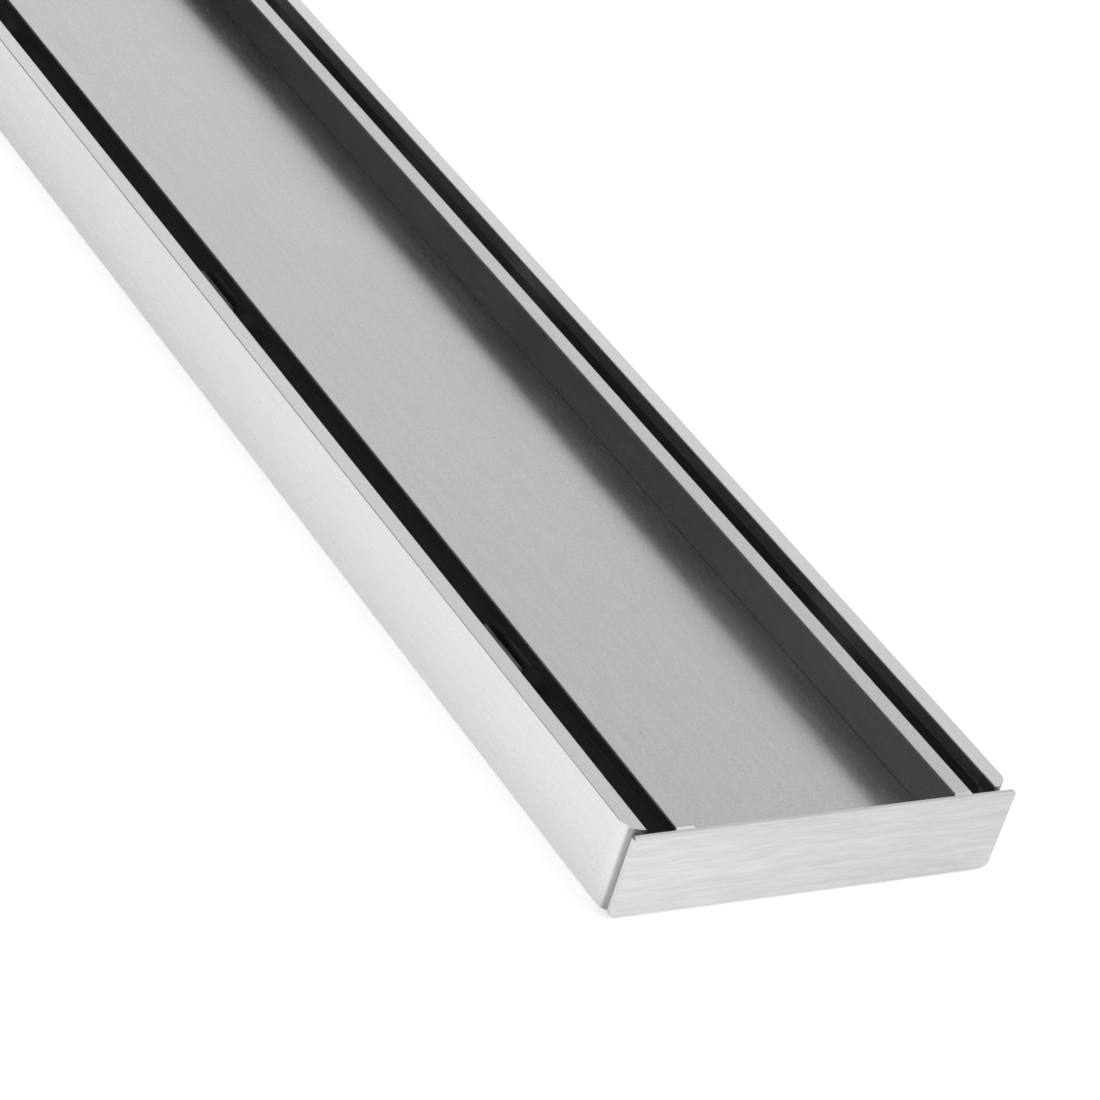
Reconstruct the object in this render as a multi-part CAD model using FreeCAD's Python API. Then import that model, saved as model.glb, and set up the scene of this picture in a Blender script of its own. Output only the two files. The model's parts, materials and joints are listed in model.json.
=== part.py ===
import FreeCAD, Part

import os
from math import hypot, tan

Vector = FreeCAD.Vector
TOUCHING = 1e-6  # mm, below which two places are the same

# A slim aluminium channel drain with a lift-out tray that takes a strip of floor tile.
# Water runs through the slot on each side of the tray, under it along the channel, and
# out through a round hole in the channel's floor.
#
# Millimetres. X runs along the drain, Y across it and Z up. The origin is at the middle
# of the underside.

# ---- Driving dimensions ------------------------------------------------------------

# Whole drain
drain_length = 600.0  # over both end plates
drain_width = 100.0  # over the channel's side walls
drain_height = 21.5  # underside to the top of the side walls

# Channel: one aluminium extrusion, sawn to length
channel_wall = 2.0
channel_floor = 2.0
channel_lip_width = 4.5  # top strip, from the outer face to the slot
channel_lip_height = 3.5  # depth of the thickened rim
channel_top_radius = 0.2  # outer top edges
channel_rim_radius = 0.45  # edges of the rims towards the slots
channel_bottom_radius = 1.0  # outer bottom edges
channel_inner_radius = 1.0  # inside, between floor and walls
channel_end_radius = 4.5  # upright outer edges at the sawn ends

# Outlet hole, in the middle of the channel's floor
outlet_diameter = 51.0

# Tray: a second extrusion, lying in the channel on its supports
slot_width = 6.75  # drainage slot on each side of the tray
tile_depth = 10.0  # from the tray's rim down to its floor
tray_wall = 2.0
tray_floor = 1.8
tray_lip_width = 4.75  # top strip, from the tile to the slot
tray_lip_height = 3.5
tray_top_radius = 0.45
tray_inner_radius = 0.2
tray_outer_radius = 1.0
tray_end_gap = 0.3  # from the tray's end to the end plate
tray_end_chamfer = 0.5  # deburred top edge of each sawn end

# End seal: moulded rubber that follows the channel's U between its end and the end plate
seal_thickness = 1.3
seal_inset = 1.3  # how far its outside stays within the channel's
seal_plug_wall = 1.5
seal_plug_length = 5.0
seal_plug_clearance = 0.2

# End plate: brushed aluminium, bonded to the seal
plate_thickness = 1.2
plate_drop = 0.0  # how far its top lies below the channel's
plate_lift = 0.4  # and its bottom above the channel's
plate_bottom_radius = 2.2
plate_top_radius = 0.8
plate_front_radius = 0.5

# Tray supports: moulded plastic saddles that carry the tray and keep it central
support_count = 4
support_length = 16.0  # along the drain
support_beam_depth = 2.4  # over the crown of the arches
support_inner_leg = 4.0  # width of each leg between two arches
support_outer_leg = 2.0  # how far each outer leg reaches in from its cheek
support_middle_arch = 26.0  # clear width of the middle arch
arch_radius = 2.5
cheek_height = 4.0  # how far the cheeks rise beside the tray
cheek_thickness = 2.2
cheek_clearance = 0.2  # cheek to the tray's wall
cheek_lead_in = 0.8
cheek_top_radius = 0.4
arm_length = 7.0  # along the drain
arm_thickness = 2.0
arm_corner_radius = 2.3
arm_clearance = 0.3  # arm's tip to the channel's wall

# ---- Places worked out from them ---------------------------------------------------

channel_length = drain_length - 2 * (plate_thickness + seal_thickness)
channel_end = channel_length / 2
plate_back = channel_end + seal_thickness
plate_top = drain_height - plate_drop
tray_length = 2 * (plate_back - tray_end_gap)

half_width = drain_width / 2
channel_inside = half_width - channel_wall
channel_lip_underside = drain_height - channel_lip_height

tray_half_width = half_width - channel_lip_width - slot_width
tray_inside = tray_half_width - tray_lip_width
tray_wall_outside = tray_inside + tray_wall
tray_floor_top = drain_height - tile_depth
tray_underside = tray_floor_top - tray_floor
tray_lip_underside = drain_height - tray_lip_height

cheek_inside = tray_wall_outside + cheek_clearance
cheek_outside = cheek_inside + cheek_thickness
arm_tip = channel_inside - arm_clearance
arm_underside = channel_floor + channel_inner_radius


# ---- Helpers -----------------------------------------------------------------------


def rounded_wire(corners):
    """A closed wire through corners given as (point, radius), an arc at each radius."""
    arcs = []
    starts = []
    ends = []
    count = len(corners)
    for index, (corner, radius) in enumerate(corners):
        before = corners[index - 1][0]
        after = corners[(index + 1) % count][0]
        to_before = (before - corner).normalize()
        to_after = (after - corner).normalize()
        if radius == 0:
            starts.append(corner)
            ends.append(corner)
            arcs.append(None)
            continue
        half_angle = to_before.getAngle(to_after) / 2
        reach = radius / tan(half_angle)
        bisector = (to_before + to_after).normalize()
        centre_distance = hypot(radius, reach)
        middle = corner + bisector * (centre_distance - radius)
        starts.append(corner + to_before * reach)
        ends.append(corner + to_after * reach)
        arcs.append(Part.Arc(starts[-1], middle, ends[-1]).toShape())
    outline = []
    for index in range(count):
        if arcs[index] is not None:
            outline.append(arcs[index])
        following = (index + 1) % count
        if (starts[following] - ends[index]).Length > TOUCHING:
            outline.append(Part.LineSegment(ends[index], starts[following]).toShape())
    return Part.Wire(outline)


def section_prism(corners, start, length):
    """Extrude a YZ outline of (y, z, radius) corners along +X from start."""
    wire = rounded_wire([(Vector(start, y, z), radius) for y, z, radius in corners])
    return Part.Face(wire).extrude(Vector(length, 0, 0))


def plan_prism(half_x, half_y, radius, bottom, top):
    """An upright prism over a rounded rectangle, centred on the Z axis."""
    signs = ((-1, -1), (1, -1), (1, 1), (-1, 1))
    corners = [(Vector(sx * half_x, sy * half_y, bottom), radius) for sx, sy in signs]
    return Part.Face(rounded_wire(corners)).extrude(Vector(0, 0, top - bottom))


def mirrored_outline(right_half):
    """Close an outline from its +Y half, listed from the bottom round to the top."""
    left_half = [(-y, z, radius) for y, z, radius in reversed(right_half)]
    return right_half + left_half


def save(shape, node):
    shape.exportStep(os.path.join("parts", node + ".step"))
    print(node, len(shape.Solids), "solid", round(shape.Volume), "mm3")


# ---- Channel -----------------------------------------------------------------------


def channel_body():
    outline = mirrored_outline(
        [
            (half_width, 0, channel_bottom_radius),
            (half_width, drain_height, channel_top_radius),
            (half_width - channel_lip_width, drain_height, channel_rim_radius),
            (half_width - channel_lip_width, channel_lip_underside, channel_rim_radius),
            (channel_inside, channel_lip_underside, channel_rim_radius),
            (channel_inside, channel_floor, channel_inner_radius),
        ]
    )
    extrusion = section_prism(outline, -channel_end, channel_length)
    sawn = plan_prism(channel_end, half_width, channel_end_radius, 0, drain_height)
    outlet = Part.makeCylinder(outlet_diameter / 2, channel_floor)
    return extrusion.common(sawn).cut(outlet)


# ---- Tray --------------------------------------------------------------------------


def tile_tray():
    outline = mirrored_outline(
        [
            (tray_wall_outside, tray_underside, tray_outer_radius),
            (tray_wall_outside, tray_lip_underside, tray_top_radius),
            (tray_half_width, tray_lip_underside, tray_top_radius),
            (tray_half_width, drain_height, tray_top_radius),
            (tray_inside, drain_height, tray_top_radius),
            (tray_inside, tray_floor_top, tray_inner_radius),
        ]
    )
    tray = section_prism(outline, -tray_length / 2, tray_length)
    for side in (-1, 1):
        tray = tray.cut(end_deburr(side))
    return tray


def end_deburr(side):
    """The wedge that breaks the rim's top edge at one end of the tray."""
    end = side * tray_length / 2
    top = drain_height
    corner = [
        Vector(end, -tray_half_width, top),
        Vector(end - side * tray_end_chamfer, -tray_half_width, top),
        Vector(end, -tray_half_width, top - tray_end_chamfer),
    ]
    wedge = Part.Face(Part.makePolygon(corner + corner[:1]))
    return wedge.extrude(Vector(0, 2 * tray_half_width, 0))


# ---- Tray supports -----------------------------------------------------------------


def arch(low_y, high_y):
    """The water passage under the beam between two legs."""
    crown = tray_underside - support_beam_depth
    corners = [
        (low_y, channel_floor, 0),
        (high_y, channel_floor, 0),
        (high_y, crown, arch_radius),
        (low_y, crown, arch_radius),
    ]
    return section_prism(corners, -support_length / 2, support_length)


def tray_support():
    cheek_top = tray_underside + cheek_height
    saddle = section_prism(
        mirrored_outline(
            [
                (cheek_outside, channel_floor, 0),
                (cheek_outside, cheek_top, cheek_top_radius),
                (cheek_inside + cheek_lead_in, cheek_top, 0),
                (cheek_inside, cheek_top - cheek_lead_in, 0),
                (cheek_inside, tray_underside, 0),
            ]
        ),
        -support_length / 2,
        support_length,
    )
    arms = plan_prism(
        arm_length / 2, arm_tip, arm_corner_radius, arm_underside, arm_underside + arm_thickness
    )
    half_arch = support_middle_arch / 2
    outer_leg_inside = cheek_inside - support_outer_leg
    support = saddle.fuse(arms)
    support = support.cut(arch(-half_arch, half_arch))
    for side in (-1, 1):
        near = side * (half_arch + support_inner_leg)
        far = side * outer_leg_inside
        support = support.cut(arch(min(near, far), max(near, far)))
    return support.removeSplitter()


# ---- Ends --------------------------------------------------------------------------


def end_seal():
    """The seal at the +X end: a U-shaped flange, and a plug of the same U in the channel."""
    plug_side = channel_inside - seal_plug_clearance
    plug_bottom = channel_floor + seal_plug_clearance
    plug_top = channel_lip_underside - seal_plug_clearance
    inner_half = [
        (plug_side - seal_plug_wall, plug_bottom + seal_plug_wall, channel_inner_radius),
    ]
    flange_side = half_width - seal_inset
    flange_top = plate_top - seal_inset
    flange = section_prism(
        mirrored_outline(
            [
                (flange_side, seal_inset, plate_bottom_radius),
                (flange_side, flange_top, 0),
                (plug_side - seal_plug_wall, flange_top, 0),
            ]
            + inner_half
        ),
        channel_end,
        seal_thickness,
    )
    plug = section_prism(
        mirrored_outline(
            [
                (plug_side, plug_bottom, channel_inner_radius),
                (plug_side, plug_top, 0),
                (plug_side - seal_plug_wall, plug_top, 0),
            ]
            + inner_half
        ),
        channel_end - seal_plug_length,
        seal_plug_length,
    )
    return flange.fuse(plug).removeSplitter()


def end_plate():
    """The plate at the +X end, its front edges rounded."""
    plate = section_prism(
        mirrored_outline(
            [
                (half_width, plate_lift, plate_bottom_radius),
                (half_width, plate_top, plate_top_radius),
            ]
        ),
        plate_back,
        plate_thickness,
    )
    front = plate_back + plate_thickness
    front_edges = [edge for edge in plate.Edges if edge.BoundBox.XMin > front - TOUCHING]
    return plate.makeFillet(plate_front_radius, front_edges)


def at_far_end(shape):
    """The same piece, turned round to the -X end."""
    turned = shape.copy()
    turned.rotate(Vector(0, 0, 0), Vector(0, 0, 1), 180)
    return turned


# ---- Assembly ----------------------------------------------------------------------

os.makedirs("parts", exist_ok=True)

save(channel_body(), "channel_body")
save(tile_tray(), "tile_tray")

support = tray_support()
support_pitch = channel_length / support_count
for index in range(support_count):
    placed = support.copy()
    placed.translate(Vector((index + 0.5) * support_pitch - channel_end, 0, 0))
    save(placed, f"tray_support_{index + 1}")

seal = end_seal()
save(seal, "near_end_seal")
save(at_far_end(seal), "far_end_seal")

plate = end_plate()
save(plate, "near_end_plate")
save(at_far_end(plate), "far_end_plate")
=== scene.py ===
import json
import math

import bpy
from mathutils import Matrix, Vector


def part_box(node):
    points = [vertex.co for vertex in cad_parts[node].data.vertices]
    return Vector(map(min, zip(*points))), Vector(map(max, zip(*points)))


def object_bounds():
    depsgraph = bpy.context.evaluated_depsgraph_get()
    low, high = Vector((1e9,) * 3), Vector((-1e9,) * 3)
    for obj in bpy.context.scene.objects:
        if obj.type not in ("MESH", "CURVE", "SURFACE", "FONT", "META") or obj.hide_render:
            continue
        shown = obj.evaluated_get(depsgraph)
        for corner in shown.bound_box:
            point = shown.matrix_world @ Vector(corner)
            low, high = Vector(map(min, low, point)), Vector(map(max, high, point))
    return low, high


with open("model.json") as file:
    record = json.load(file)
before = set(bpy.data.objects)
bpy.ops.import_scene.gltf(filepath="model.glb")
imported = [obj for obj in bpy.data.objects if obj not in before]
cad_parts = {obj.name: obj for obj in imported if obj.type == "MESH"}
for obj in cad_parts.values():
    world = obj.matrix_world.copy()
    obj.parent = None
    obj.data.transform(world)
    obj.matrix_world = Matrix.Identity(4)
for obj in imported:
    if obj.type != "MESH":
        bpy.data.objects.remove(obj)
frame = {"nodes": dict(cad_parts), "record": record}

# The finishes of a channel drain, with a pale floor, a soft studio and a camera.
#
# Metres, in the part's own frame: X along the drain with the near end at +X, Y across
# it and Z up. Left and right are the camera's: left is -Y.

MM = 0.001
MICRON = 1e-6

CAD_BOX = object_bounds()
LOW, HIGH = CAD_BOX
OPENINGS = {
    opening["name"]: opening["box_m"] for opening in frame["record"]["physics"]["openings"]
}
RECESS_LOW, RECESS_HIGH = (Vector(corner) for corner in OPENINGS["tile_recess"])
CHANNEL_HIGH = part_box("channel_body")[1]
TRAY_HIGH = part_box("tile_tray")[1]
PLATE_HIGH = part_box("near_end_plate")[1]

# ---- Places with a finish of their own, painted shade or a painted highlight ----------

SKIN = 0.5 * MM  # how far a mask's box reaches past the faces that it takes in
EDGE = 0.05 * MM  # and how far it stays clear of the faces that it leaves out
WALL = 1.9 * MM  # a little less than the channel's walls and floor are thick
RIM_DEPTH = 3.6 * MM  # a little more than the thickened rims beside the slots are deep
RIM_EDGE = 0.5 * MM  # how far below its top a rim's own flank begins
CORNER = 5.0 * MM  # how far the rounded upright edges reach in from the channel's ends
CORNER_BEGINS = 0.6 * MM  # how far in from the channel's sides the matt finish with its painted shade begins
CORNER_FULL = 1.2 * MM  # and is full
SAWN_EDGE = 0.6 * MM  # how far the painted highlight on the sawn edge reaches in from the tray's ends
RECESS_REACH = 0.3 * MM  # from the tile recess's free space to just behind its sides
RECESS_DROP = 0.19 * MM  # and down to just above its floor
RECESS_CORNER = 0.03 * MM  # and up to just above the corners along that floor
PLATE_EDGE_BEGINS = 0.9 * MM  # how far below the plate's top its bright edge begins
PLATE_EDGE_FULL = 0.4 * MM  # and is full

# ---- Finish ---------------------------------------------------------------------------

# Features per metre along X, Y and Z, of the hairlines and of the wider streaks
ALONG = (25.0, 2600.0, 2600.0)
ALONG_COARSE = (4.0, 420.0, 420.0)
MATT = (1400.0, 2200.0, 2200.0)
MATT_COARSE = (90.0, 500.0, 500.0)
ACROSS = (2600.0, 95.0, 1300.0)
ACROSS_COARSE = (420.0, 22.0, 420.0)

# Features per metre of the faint clouds over a whole face
METAL_CLOUDS = (14.0, 30.0, 30.0)
PLASTIC_CLOUDS = (60.0, 60.0, 60.0)

NOISE_ROUGHNESS = 0.6
STREAK_RANGE = (0.3, 0.7)  # values of the noise between which each of these shows
HAIRLINE_RANGE = (0.25, 0.75)
METAL_CLOUD_RANGE = (0.35, 0.65)
PLASTIC_CLOUD_RANGE = (0.35, 0.75)
METAL_CLOUD_SPREAD = 0.015  # how far the clouds change a metal's roughness
PLASTIC_SPREAD = 0.06  # how far its texture changes a plastic's roughness
DUST_GAIN = 1.8  # how much paler a plastic is where dust lies
DUST_LEVEL = 0.01  # and what dust adds to black
SPECK_CELLS = 220.0  # places per metre where a speck may lie
SPECK_RADIUS = 0.045  # of a place's width
SPECK_GREY = 0.12
SPECK_STRENGTH = 0.8

# ---- Camera: where it stands, measured from the near end's lowest middle point --------

CAMERA_OFFSET = Vector((0.5323, -0.5199, 0.5003))
CAMERA_ELEVATION = 30.606  # degrees that it looks down
CAMERA_TURN = 38.648  # degrees that its aim is turned from -X towards +Y
CAMERA_ROLL = -17.671  # degrees
CAMERA_LENS = 136.93  # mm on a 36 mm sensor

# ---- Light ----------------------------------------------------------------------------

SKY_LOW = 0.87  # brightness of the sky near the horizon
SKY_BAND = 0.40  # of the duller band above it
SKY_HIGH = 1.30  # and overhead
SKY_BAND_FROM = 0.50  # heights on the unit sphere between which it dulls
SKY_BAND_TO = 0.62
SKY_HIGH_FROM = 0.64  # and between which it brightens
SKY_HIGH_TO = 0.95
KEY_SIDE = Vector((0.51, 0.54, 0.67))  # towards the soft key light
KEY_LEVEL = 0.3  # added to the sky in its middle
KEY_INNER = 0.97  # cosines between which the key light fades out
KEY_OUTER = 0.82
DARK_SIDE = Vector((-0.74, -0.60, 0.30))  # towards the unlit end of the studio
DARK_LEVEL = 0.28  # what light it has above; none near the horizon
DARK_FROM = 0.48  # heights between which it gets that light
DARK_TO = 0.60
DARK_INNER = 0.85  # cosines between which the dark side fades into the sky
DARK_OUTER = 0.50

FLOOR_HALF = 8.0  # half the floor's width
FLOOR_DROP = 0.02 * MM  # how far it lies below the drain, so that no faces coincide
FLOOR_PAINT = 0.93
FLOOR_GLOW_SEEN = 0.45  # added to the floor where the camera sees it
FLOOR_GLOW_LEFT = 0.34  # and where the metal mirrors it, left and right of the drain
FLOOR_GLOW_RIGHT = 0.15
FLOOR_GLOW_WIDTH = 1.6  # of the drain's width, over which one passes into the other
FLOOR_GLOW_FAR = 0.72  # share of that glow left towards the far end
FLOOR_GLOW_FAR_AT = 0.35  # of the way from the drain's middle to its far end


# ---- Node helpers ---------------------------------------------------------------------


class Nodes:
    """A node tree with short ways to add and join nodes."""

    def __init__(self, tree):
        self.tree = tree
        tree.nodes.clear()

    def add(self, kind, inputs=None, **settings):
        """A new node with its settings, and with links or values on its inputs."""
        node = self.tree.nodes.new(kind)
        for name, value in settings.items():
            setattr(node, name, value)
        for name, value in (inputs or {}).items():
            if isinstance(value, bpy.types.NodeSocket):
                self.tree.links.new(value, node.inputs[name])
            else:
                node.inputs[name].default_value = value
        return node

    def math(self, operation, first, second=0.0):
        return self.add("ShaderNodeMath", {0: first, 1: second}, operation=operation).outputs[0]

    def ramp(self, value, low, high, low_out=0.0, high_out=1.0):
        """A smooth step of value from low..high to low_out..high_out."""
        inputs = {
            "Value": value,
            "From Min": low,
            "From Max": high,
            "To Min": low_out,
            "To Max": high_out,
        }
        node = self.add("ShaderNodeMapRange", inputs, interpolation_type="SMOOTHSTEP")
        return node.outputs["Result"]

    def mix(self, factor, first, second, data_type="RGBA"):
        """A value between two values, which are colours unless data_type says otherwise."""
        inputs = {"Factor": factor, "A": first, "B": second}
        return self.add("ShaderNodeMix", inputs, data_type=data_type).outputs["Result"]

    def blend(self, factor, first, second):
        """A number between two numbers."""
        return self.mix(factor, first, second, data_type="FLOAT")

    def axes(self, place):
        """The X, Y and Z of a place or a direction."""
        return self.add("ShaderNodeSeparateXYZ", {"Vector": place}).outputs

    def towards(self, way, aim):
        """Cosine of the angle between a direction and an aim."""
        inputs = {0: way, 1: aim.normalized()}
        node = self.add("ShaderNodeVectorMath", inputs, operation="DOT_PRODUCT")
        return node.outputs["Value"]

    def noise(self, place, stretch, detail=3.0):
        """Noise whose features are 1/stretch metres long on each axis."""
        mapping = self.add("ShaderNodeMapping", {"Vector": place, "Scale": stretch})
        inputs = {
            "Vector": mapping.outputs[0],
            "Scale": 1.0,
            "Detail": detail,
            "Roughness": NOISE_ROUGHNESS,
        }
        return self.add("ShaderNodeTexNoise", inputs).outputs["Fac"]


def grey(level):
    """A neutral, opaque colour."""
    return (level, level, level, 1.0)


# ---- Masks: 1 on the faces that each one names, 0 elsewhere ---------------------------


def inside_box(nodes, place, half_y, low_z, high_z, half_x=HIGH.x):
    """1 between two heights in a box that lies evenly about the drain's middle, else 0."""
    axes = nodes.axes(place)
    along = nodes.math("LESS_THAN", nodes.math("ABSOLUTE", axes["X"]), half_x)
    across = nodes.math("LESS_THAN", nodes.math("ABSOLUTE", axes["Y"]), half_y)
    above = nodes.math("GREATER_THAN", axes["Z"], low_z)
    below = nodes.math("LESS_THAN", axes["Z"], high_z)
    level = nodes.math("MULTIPLY", above, below)
    return nodes.math("MULTIPLY", nodes.math("MULTIPLY", along, across), level)


def channel_faces(nodes, place, low_z, high_z):
    """The channel's faces within its outer walls, between two heights."""
    half_x, half_y = CHANNEL_HIGH.x - EDGE, CHANNEL_HIGH.y - WALL
    return inside_box(nodes, place, half_y, low_z, high_z, half_x)


def channel_inside_painted_shade(nodes, place):
    """The channel's inner faces, under its rims, darkened there as painted shade."""
    return channel_faces(nodes, place, LOW.z + WALL, HIGH.z - RIM_DEPTH)


def channel_rims_painted_shade(nodes, place):
    """The flanks of the channel's rims, towards the slots, darkened as painted shade in the
    slots.
    """
    return channel_faces(nodes, place, HIGH.z - RIM_DEPTH, HIGH.z - RIM_EDGE)


def channel_corners_matt_painted_shade(nodes, place):
    """The channel's upright outer edges at its ends, linished round and left matt, with a
    darker grey as painted shade at the seam beside the end plate.
    """
    axes = nodes.axes(place)
    along = nodes.math("ABSOLUTE", axes["X"])
    across = nodes.math("ABSOLUTE", axes["Y"])
    end = nodes.math("GREATER_THAN", along, CHANNEL_HIGH.x - CORNER)
    below = nodes.math("LESS_THAN", axes["Z"], HIGH.z - EDGE)
    side = CHANNEL_HIGH.y
    inward = nodes.ramp(across, side - CORNER_FULL, side - CORNER_BEGINS, 1.0, 0.0)
    return nodes.math("MULTIPLY", nodes.math("MULTIPLY", end, below), inward)


def tray_faces(nodes, place, low_z, high_z):
    """The tray's faces outside its tile recess, between two heights."""
    recess = inside_box(nodes, place, RECESS_HIGH.y + SKIN, RECESS_LOW.z - SKIN, HIGH.z)
    outside = nodes.math("SUBTRACT", 1.0, recess)
    level = inside_box(nodes, place, HIGH.y, low_z, high_z, TRAY_HIGH.x - SAWN_EDGE)
    return nodes.math("MULTIPLY", outside, level)


def tray_outside_painted_shade(nodes, place):
    """The tray's outer faces and underside, under its rims, darkened as painted shade in the
    slots.
    """
    return tray_faces(nodes, place, LOW.z, HIGH.z - RIM_DEPTH)


def tray_rims_painted_shade(nodes, place):
    """The flanks of the tray's rims, towards the slots, darkened as painted shade in the slots.
    """
    return tray_faces(nodes, place, HIGH.z - RIM_DEPTH, HIGH.z - RIM_EDGE)


def recess_sides(nodes, place, high_z):
    """The sides of the tray's tile recess, up to a height."""
    low_z = RECESS_LOW.z - RECESS_DROP
    sides = inside_box(nodes, place, RECESS_HIGH.y + RECESS_REACH, low_z, high_z)
    between = inside_box(nodes, place, RECESS_HIGH.y, low_z, high_z)
    return nodes.math("SUBTRACT", sides, between)


def recess_walls_painted_shade(nodes, place):
    """The sides of the tray's tile recess, up to their rounded tops, darkened as painted shade.
    """
    return recess_sides(nodes, place, HIGH.z - RIM_EDGE)


def recess_corners_painted_shade(nodes, place):
    """The tight inside corners between the recess's floor and its sides, darkened as painted
    shade.
    """
    return recess_sides(nodes, place, RECESS_LOW.z + RECESS_CORNER)


def tray_ends_painted_highlight(nodes, place):
    """The tray's sawn ends and their deburred edges, paler on the left as a painted highlight.
    """
    middle = inside_box(nodes, place, HIGH.y, LOW.z, HIGH.z + SKIN, TRAY_HIGH.x - SAWN_EDGE)
    left = nodes.math("LESS_THAN", nodes.axes(place)["Y"], 0.0)
    return nodes.math("MULTIPLY", nodes.math("SUBTRACT", 1.0, middle), left)


def plate_top_edge(nodes, place):
    """The end plate's top, rubbed bright, fading out down its front."""
    begins, full = PLATE_HIGH.z - PLATE_EDGE_BEGINS, PLATE_HIGH.z - PLATE_EDGE_FULL
    return nodes.ramp(nodes.axes(place)["Z"], begins, full)


def dust_specks(nodes, place, density):
    """Dark specks well under a millimetre wide, in a share of all places."""
    cells = nodes.add("ShaderNodeTexVoronoi", {"Vector": place, "Scale": SPECK_CELLS})
    near = nodes.math("LESS_THAN", cells.outputs["Distance"], SPECK_RADIUS)
    chosen = nodes.add("ShaderNodeSeparateColor", {"Color": cells.outputs["Color"]})
    kept = nodes.math("LESS_THAN", chosen.outputs["Red"], density)
    return nodes.math("MULTIPLY", nodes.math("MULTIPLY", near, kept), SPECK_STRENGTH)


# ---- Materials ------------------------------------------------------------------------


def new_material(name):
    """A material, and its node tree with nothing in it."""
    material = bpy.data.materials.new(name)
    material.use_nodes = True
    return material, Nodes(material.node_tree)


def shade_surface(nodes, base, rough, texture, depth, metallic):
    """Gives a material its shader, with the texture as a bump that many metres deep."""
    bump = nodes.add("ShaderNodeBump", {"Height": texture, "Strength": 1.0, "Distance": depth})
    inputs = {
        "Base Color": base,
        "Roughness": rough,
        "Metallic": metallic,
        "Normal": bump.outputs[0],
    }
    shader = nodes.add("ShaderNodeBsdfPrincipled", inputs)
    nodes.add("ShaderNodeOutputMaterial", {"Surface": shader.outputs[0]})


def grained_aluminium(
    name,
    colour,
    roughness,
    grain,
    coarse,
    grain_depth,
    contrast=(0.035, 0.03),
    sheen_spread=0.03,
    zones=(),
    specks=0.0,
):
    """Satin aluminium with a fine directional grain.

    grain and coarse are features per metre along each axis, for the hairlines and for
    the wider streaks; contrast is how much each of them darkens the metal. grain_depth
    is the hairlines' depth in metres, and sheen_spread how far the roughness varies
    from streak to streak. Each zone is a mask maker with the grey and the roughness
    that the metal is given inside the mask; darker zone greys are painted shade, and a
    paler one is a painted highlight. specks is the share of places with a speck.
    """
    material, nodes = new_material(name)
    place = nodes.add("ShaderNodeTexCoord").outputs["Object"]
    hairlines = nodes.noise(place, grain)
    streaks = nodes.noise(place, coarse, detail=4.0)
    clouds = nodes.noise(place, METAL_CLOUDS, detail=2.0)

    fine, wide = contrast
    streaked = nodes.ramp(streaks, *STREAK_RANGE, 1.0 - wide, 1.0)
    lined = nodes.ramp(hairlines, *HAIRLINE_RANGE, 1.0 - fine, 1.0)
    shade = nodes.math("MULTIPLY", streaked, lined)
    base = nodes.mix(shade, grey(0.0), (*colour, 1.0))
    low_rough, high_rough = roughness - sheen_spread, roughness + sheen_spread
    rough = nodes.ramp(streaks, *STREAK_RANGE, low_rough, high_rough)
    for mask_maker, zone_grey, zone_roughness in zones:
        mask = mask_maker(nodes, place)
        base = nodes.mix(mask, base, nodes.mix(shade, grey(0.0), grey(zone_grey)))
        rough = nodes.blend(mask, rough, zone_roughness)
    if specks:
        base = nodes.mix(dust_specks(nodes, place, specks), base, grey(SPECK_GREY))
    sheen = nodes.ramp(clouds, *METAL_CLOUD_RANGE, -METAL_CLOUD_SPREAD, METAL_CLOUD_SPREAD)
    rough = nodes.math("ADD", rough, sheen)
    shade_surface(nodes, base, rough, hairlines, grain_depth, metallic=1.0)
    return material


def moulded(name, colour, roughness, grain_size, depth):
    """Matt moulded plastic or rubber with a fine leathery texture."""
    material, nodes = new_material(name)
    place = nodes.add("ShaderNodeTexCoord").outputs["Object"]
    pitch = 1.0 / grain_size
    texture = nodes.noise(place, (pitch, pitch, pitch), detail=4.0)
    clouds = nodes.noise(place, PLASTIC_CLOUDS, detail=2.0)
    dusty = tuple(min(1.0, channel * DUST_GAIN + DUST_LEVEL) for channel in colour)
    dust = nodes.ramp(clouds, *PLASTIC_CLOUD_RANGE)
    base = nodes.mix(dust, (*colour, 1.0), (*dusty, 1.0))
    low_rough, high_rough = roughness - PLASTIC_SPREAD, roughness + PLASTIC_SPREAD
    rough = nodes.ramp(texture, *STREAK_RANGE, low_rough, high_rough)
    shade_surface(nodes, base, rough, texture, depth, metallic=0.0)
    return material


def dress(names, material):
    """Gives the named pieces one material."""
    for name in names:
        mesh = frame["nodes"][name].data
        mesh.materials.clear()
        mesh.materials.append(material)


# ---- Stage ----------------------------------------------------------------------------


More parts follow.
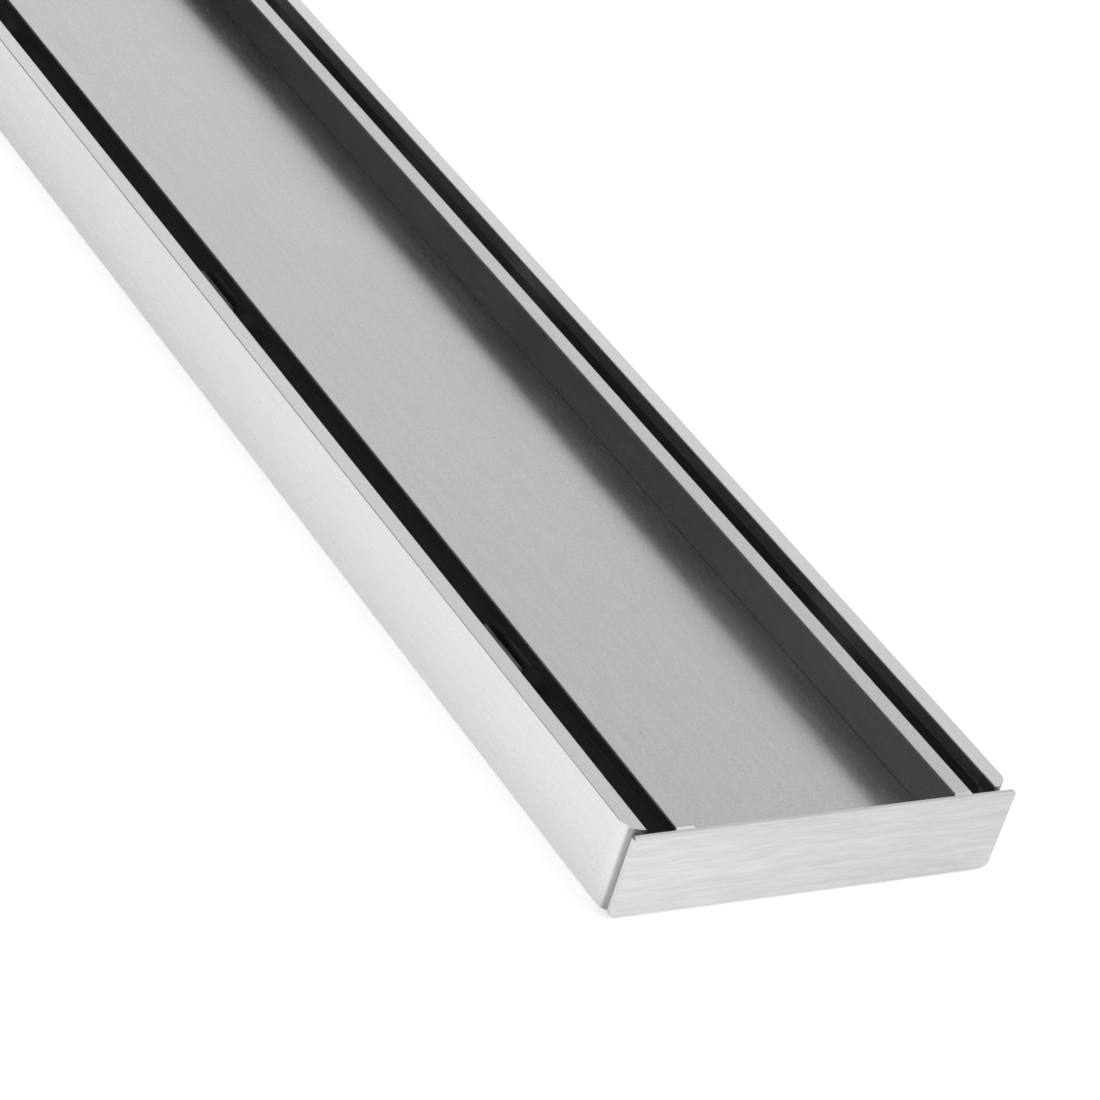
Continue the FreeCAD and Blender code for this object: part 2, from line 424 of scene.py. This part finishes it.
def floor():
    """A plain pale floor that shows as white and keeps the drain's soft shadow."""
    half = FLOOR_HALF
    mesh = bpy.data.meshes.new("floor")
    corners = [(-half, -half, 0), (half, -half, 0), (half, half, 0), (-half, half, 0)]
    mesh.from_pydata(corners, [], [(0, 1, 2, 3)])
    piece = bpy.data.objects.new("floor", mesh)
    piece.location.z = LOW.z - FLOOR_DROP
    bpy.context.collection.objects.link(piece)

    material, nodes = new_material("floor")
    paths = nodes.add("ShaderNodeLightPath").outputs
    seen = nodes.math("MAXIMUM", paths["Is Camera Ray"], paths["Is Transmission Ray"])
    seen = nodes.math("MULTIPLY", seen, FLOOR_GLOW_SEEN)
    axes = nodes.axes(nodes.add("ShaderNodeTexCoord").outputs["Object"])
    left, right = FLOOR_GLOW_WIDTH * LOW.y, FLOOR_GLOW_WIDTH * HIGH.y
    level = nodes.ramp(axes["Y"], left, right, FLOOR_GLOW_LEFT, FLOOR_GLOW_RIGHT)
    far = FLOOR_GLOW_FAR_AT * LOW.x
    share = nodes.ramp(axes["X"], far, HIGH.x, FLOOR_GLOW_FAR, 1.0)
    mirrored = nodes.math("MULTIPLY", level, share)
    mirrored = nodes.math("MULTIPLY", paths["Is Glossy Ray"], mirrored)
    strength = nodes.math("ADD", seen, mirrored)
    glow = nodes.add("ShaderNodeEmission", {"Color": grey(1.0), "Strength": strength})
    paint = nodes.add("ShaderNodeBsdfDiffuse", {"Color": grey(FLOOR_PAINT)})
    surface = nodes.add("ShaderNodeAddShader", {0: paint.outputs[0], 1: glow.outputs[0]})
    nodes.add("ShaderNodeOutputMaterial", {"Surface": surface.outputs[0]})
    mesh.materials.append(material)


def studio():
    """Soft light from all round, dimmer towards one end of the room."""
    world = bpy.data.worlds.new("studio")
    bpy.context.scene.world = world
    world.use_nodes = True
    nodes = Nodes(world.node_tree)
    way = nodes.add("ShaderNodeTexCoord").outputs["Generated"]
    height = nodes.axes(way)["Z"]
    sky = nodes.ramp(height, SKY_BAND_FROM, SKY_BAND_TO, SKY_LOW, SKY_BAND)
    overhead = nodes.ramp(height, SKY_HIGH_FROM, SKY_HIGH_TO, 0.0, SKY_HIGH - SKY_BAND)
    sky = nodes.math("ADD", sky, overhead)
    key = nodes.ramp(nodes.towards(way, KEY_SIDE), KEY_OUTER, KEY_INNER, 0.0, KEY_LEVEL)
    sky = nodes.math("ADD", sky, key)
    dark = nodes.ramp(nodes.towards(way, DARK_SIDE), DARK_OUTER, DARK_INNER)
    dark_level = nodes.ramp(height, DARK_FROM, DARK_TO, 0.0, DARK_LEVEL)
    strength = nodes.blend(dark, sky, dark_level)
    lit = nodes.add("ShaderNodeBackground", {"Color": grey(1.0), "Strength": strength})
    plain = nodes.add("ShaderNodeBackground", {"Color": grey(1.0), "Strength": 1.0})
    camera_ray = nodes.add("ShaderNodeLightPath").outputs["Is Camera Ray"]
    shown = {0: camera_ray, 1: lit.outputs[0], 2: plain.outputs[0]}
    surface = nodes.add("ShaderNodeMixShader", shown)
    nodes.add("ShaderNodeOutputWorld", {"Surface": surface.outputs[0]})


def camera():
    """Looks down along the drain from beyond its near end."""
    down = math.radians(CAMERA_ELEVATION)
    turn = math.radians(CAMERA_TURN)
    roll = math.radians(CAMERA_ROLL)
    level = Vector((-math.cos(turn), math.sin(turn), 0))
    forward = level * math.cos(down) - Vector((0, 0, math.sin(down)))
    side = forward.cross(Vector((0, 0, 1))).normalized()
    up = side.cross(forward) * math.cos(roll) + side * math.sin(roll)
    data = bpy.data.cameras.new("camera")
    data.lens = CAMERA_LENS
    piece = bpy.data.objects.new("camera", data)
    axes = Matrix((forward.cross(up), up, -forward)).transposed()
    near_end = Vector((HIGH.x, (LOW.y + HIGH.y) / 2, LOW.z))
    piece.matrix_world = Matrix.Translation(near_end + CAMERA_OFFSET) @ axes.to_4x4()
    bpy.context.collection.objects.link(piece)
    bpy.context.scene.camera = piece


# ---- Build ----------------------------------------------------------------------------

dress(
    ["channel_body"],
    grained_aluminium(
        "channel_aluminium",
        colour=(0.825, 0.825, 0.836),
        roughness=0.28,
        grain=ALONG,
        coarse=ALONG_COARSE,
        grain_depth=1.5 * MICRON,
        zones=[
            # darker greys inside the channel and on its rims' flanks: painted shade in the
            # channel and the slots
            (channel_inside_painted_shade, 0.46, 0.42),
            (channel_rims_painted_shade, 0.72, 0.42),
            # darker grey on the matt corners: painted shade at the seam beside the end plates
            (channel_corners_matt_painted_shade, 0.46, 0.45),
        ],
    ),
)
dress(
    ["tile_tray"],
    grained_aluminium(
        "tray_aluminium",
        colour=(0.72, 0.725, 0.721),
        roughness=0.27,
        grain=MATT,
        coarse=MATT_COARSE,
        grain_depth=0.9 * MICRON,
        contrast=(0.12, 0.05),
        sheen_spread=0.01,
        zones=[
            # darker greys on the tray's outside and its rims' flanks: painted shade in the
            # slots
            (tray_outside_painted_shade, 0.30, 0.30),
            (tray_rims_painted_shade, 0.29, 0.36),
            # darker greys on the recess's sides and in its inside corners: painted shade
            (recess_walls_painted_shade, 0.50, 0.20),
            (recess_corners_painted_shade, 0.14, 0.30),
            # paler grey on the left sawn ends: a painted highlight
            (tray_ends_painted_highlight, 0.92, 0.45),
        ],
        specks=0.02,
    ),
)
dress(
    ["near_end_plate", "far_end_plate"],
    grained_aluminium(
        "plate_aluminium",
        colour=(0.785, 0.785, 0.80),
        roughness=0.30,
        grain=ACROSS,
        coarse=ACROSS_COARSE,
        grain_depth=4.0 * MICRON,
        contrast=(0.12, 0.09),
        zones=[(plate_top_edge, 0.78, 0.42)],
    ),
)
dress(
    [name for name in frame["nodes"] if name.startswith("tray_support")],
    moulded(
        "support_plastic",
        colour=(0.28, 0.28, 0.285),
        roughness=0.55,
        grain_size=0.4 * MM,
        depth=10.0 * MICRON,
    ),
)
dress(
    ["near_end_seal", "far_end_seal"],
    moulded(
        "seal_rubber",
        colour=(0.26, 0.26, 0.265),
        roughness=0.7,
        grain_size=0.3 * MM,
        depth=8.0 * MICRON,
    ),
)

floor()
studio()
camera()
bpy.context.scene.view_settings.view_transform = "Standard"
